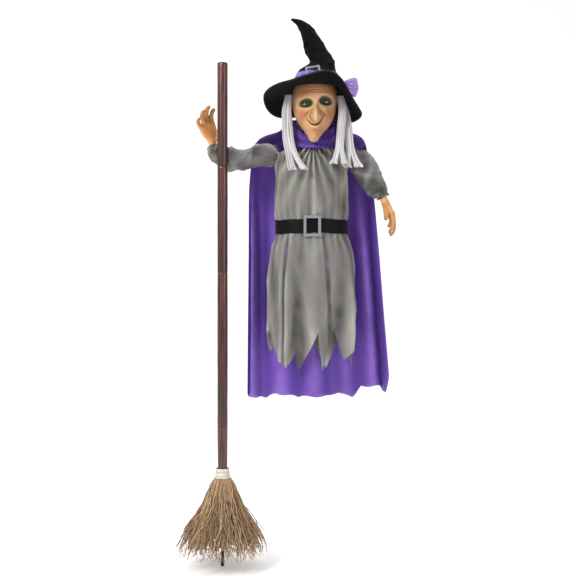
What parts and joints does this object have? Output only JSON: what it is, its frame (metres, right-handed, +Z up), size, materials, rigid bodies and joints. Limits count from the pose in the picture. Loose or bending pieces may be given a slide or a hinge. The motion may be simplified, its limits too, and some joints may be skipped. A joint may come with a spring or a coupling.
{
  "type": "animated witch figure",
  "caption": "Caped witch figure hovering beside an upright broomstick, with a motor-turned head, pointed hat, posable arm and control box under the skirt.",
  "frame": {"origin": "centre of the lower end face of the broomstick's base spigot, on the axis of the stick", "axes": "+Z up along the broomstick, +X from the stick towards the figure, -Y the side that the figure faces"},
  "size_m": [0.6918, 0.3673, 1.7156],
  "materials": {
    "stick_print": "printed dark wood grain under a gloss film",
    "zinc_steel": "zinc-plated steel",
    "black_steel": "black powder coat",
    "white_tape": "off-white moulded sleeve with fine wear",
    "straw": "dry straw",
    "black_plastic": "fine spark texture",
    "shell_plastic": "blow-moulded",
    "nylon": "natural moulded nylon",
    "circuit_board": "green solder mask",
    "vinyl_skin": "painted soft vinyl",
    "eye_plastic": "clear-coated eye",
    "grey_satin": "silver-grey satin",
    "black_vinyl": "black grained vinyl",
    "silver_plate": "vacuum-plated silver",
    "purple_satin": "purple satin",
    "black_felt": "soft black cloth with a low sheen",
    "grey_yarn": "combed synthetic hair"
  },
  "bodies": {
    "frame": {"pole_bottom_section": "stick_print", "pole_middle_section": "stick_print", "pole_upper_section": "stick_print", "pole_top_section": "stick_print", "ferrule_middle": "zinc_steel", "ferrule_upper": "zinc_steel", "ferrule_top": "zinc_steel", "pole_cap": "stick_print", "base_spigot": "black_steel", "bristle_collar": "white_tape", "bristles": "straw", "pole_bracket": "black_steel", "raised_arm_rod": "black_steel", "shoulder_pin": "zinc_steel", "shoulder_bar": "black_steel", "spine_tube": "black_steel", "hip_hoop": "zinc_steel", "neck_plate": "zinc_steel", "gear_case": "nylon", "gear_case_cover": "nylon", "neck_bush": "nylon", "head_motor": "zinc_steel", "torso_front_shell": "shell_plastic", "torso_back_shell": "shell_plastic", "speaker": "black_plastic", "control_box": "black_plastic", "door_hinge_pin": "zinc_steel", "board_cover": "black_plastic", "sound_board": "circuit_board", "dress": "grey_satin", "belt": "black_vinyl", "belt_buckle": "silver_plate", "sleeve_raised": "grey_satin", "cape": "purple_satin", "cape_collar": "purple_satin"},
    "head": {"neck_post": "zinc_steel", "neck_sector_gear": "nylon", "head_form": "shell_plastic", "face_mask": "vinyl_skin", "eye_left": "eye_plastic", "eye_right": "eye_plastic", "hat_crown": "black_felt", "hat_brim": "black_felt", "hat_band": "purple_satin", "hat_buckle": "silver_plate", "hat_bow": "purple_satin", "hair_left": "grey_yarn", "hair_right_inner": "grey_yarn", "hair_right_outer": "grey_yarn"},
    "pinion": {"drive_pinion": "nylon"},
    "lowered_arm": {"lowered_arm_rod": "black_steel", "arm_collar": "nylon", "sleeve_lowered": "grey_satin"},
    "lowered_hand": {"hand_lowered": "vinyl_skin"},
    "raised_hand": {"hand_raised": "vinyl_skin"},
    "door": {"battery_door": "black_plastic"},
    "switch": {"power_switch": "black_plastic"},
    "button": {"test_button": "black_plastic"},
    "screw_upper": {"wing_screw_upper": "black_steel"},
    "screw_lower": {"wing_screw_lower": "black_steel"}
  },
  "joints": [
    {"name": "head_turn", "type": "hinge", "parent": "frame", "child": "head", "pos_m": [0.28, 0.054, 1.25], "axis": [0, 0, 1], "range_deg": [-30, 30], "deforming": ["hair_left", "hair_right_inner", "hair_right_outer"]},
    {"name": "pinion_spin", "type": "hinge", "parent": "frame", "child": "pinion", "pos_m": [0.28, 0.024, 1.25], "axis": [0, 0, 1], "range_deg": [-92, 92]},
    {"name": "lowered_arm_swing", "type": "hinge", "parent": "frame", "child": "lowered_arm", "pos_m": [0.384, 0.084, 1.29], "axis": [-1, 0, 0], "range_deg": [0, 35]},
    {"name": "lowered_hand_turn", "type": "hinge", "parent": "lowered_arm", "child": "lowered_hand", "pos_m": [0.497, 0.054, 1.16], "axis": [0.4226, 0, -0.9063], "range_deg": [-60, 60]},
    {"name": "raised_hand_turn", "type": "hinge", "parent": "frame", "child": "raised_hand", "pos_m": [-0.03, 0.0364, 1.303], "axis": [-0.2924, 0, 0.9563], "range_deg": [-10, 15]},
    {"name": "battery_door_swing", "type": "hinge", "parent": "frame", "child": "door", "pos_m": [0.28, 0.06785, 0.8914], "axis": [1, 0, 0], "range_deg": [0, 100]},
    {"name": "power_switch_slide", "type": "slide", "parent": "frame", "child": "switch", "axis": [0, 0, 1], "range_m": [0, 0.006]},
    {"name": "test_button_push", "type": "slide", "parent": "frame", "child": "button", "axis": [-1, 0, 0], "range_m": [0, 0.0025], "stiffness_N_per_m": 200},
    {"name": "screw_upper_turn", "type": "hinge", "parent": "frame", "child": "screw_upper", "pos_m": [0, 0.05, 1.29], "axis": [0, 1, 0], "continuous": true},
    {"name": "screw_lower_turn", "type": "hinge", "parent": "frame", "child": "screw_lower", "pos_m": [0, 0.05, 1.258], "axis": [0, 1, 0], "continuous": true}
  ],
  "couplings": [
    {"joint": "pinion_spin", "follows": "head_turn", "ratio": -3}
  ]
}
